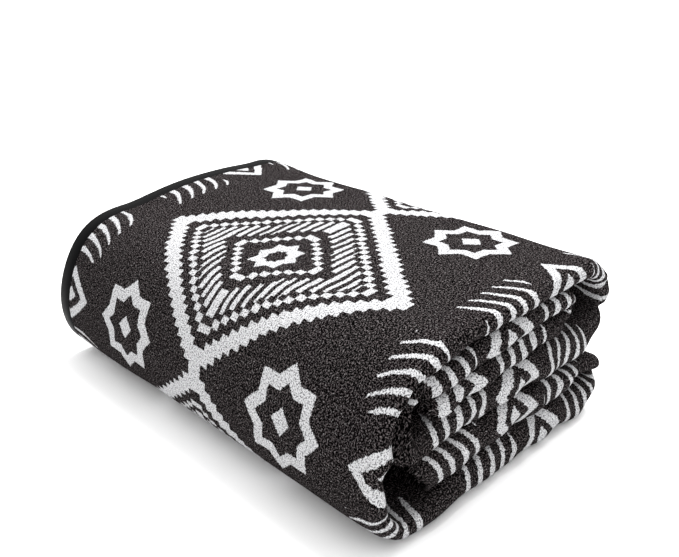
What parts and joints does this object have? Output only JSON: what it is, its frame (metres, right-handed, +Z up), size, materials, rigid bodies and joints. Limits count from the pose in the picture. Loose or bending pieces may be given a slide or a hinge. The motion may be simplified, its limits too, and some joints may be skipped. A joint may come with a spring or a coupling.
{
  "type": "folded blanket",
  "caption": "Thick wool blanket with bound edges, folded into a long stack: round ridges on one long side, bound edges on the other.",
  "frame": {"origin": "on the surface it lies on, under the middle of the stack", "axes": "+Z up; +Y from the ridged side to the bound edges; +X from the outer left turn to the right turns"},
  "size_m": [0.3874, 0.5516, 0.2007],
  "materials": {
    "wool": "napped wool jacquard, charcoal with off-white motifs",
    "tape": "smooth black woven tape with a soft sheen"
  },
  "bodies": {
    "root": {"blanket": "wool", "binding_outer": "tape", "binding_inner": "tape"}
  },
  "joints": []
}
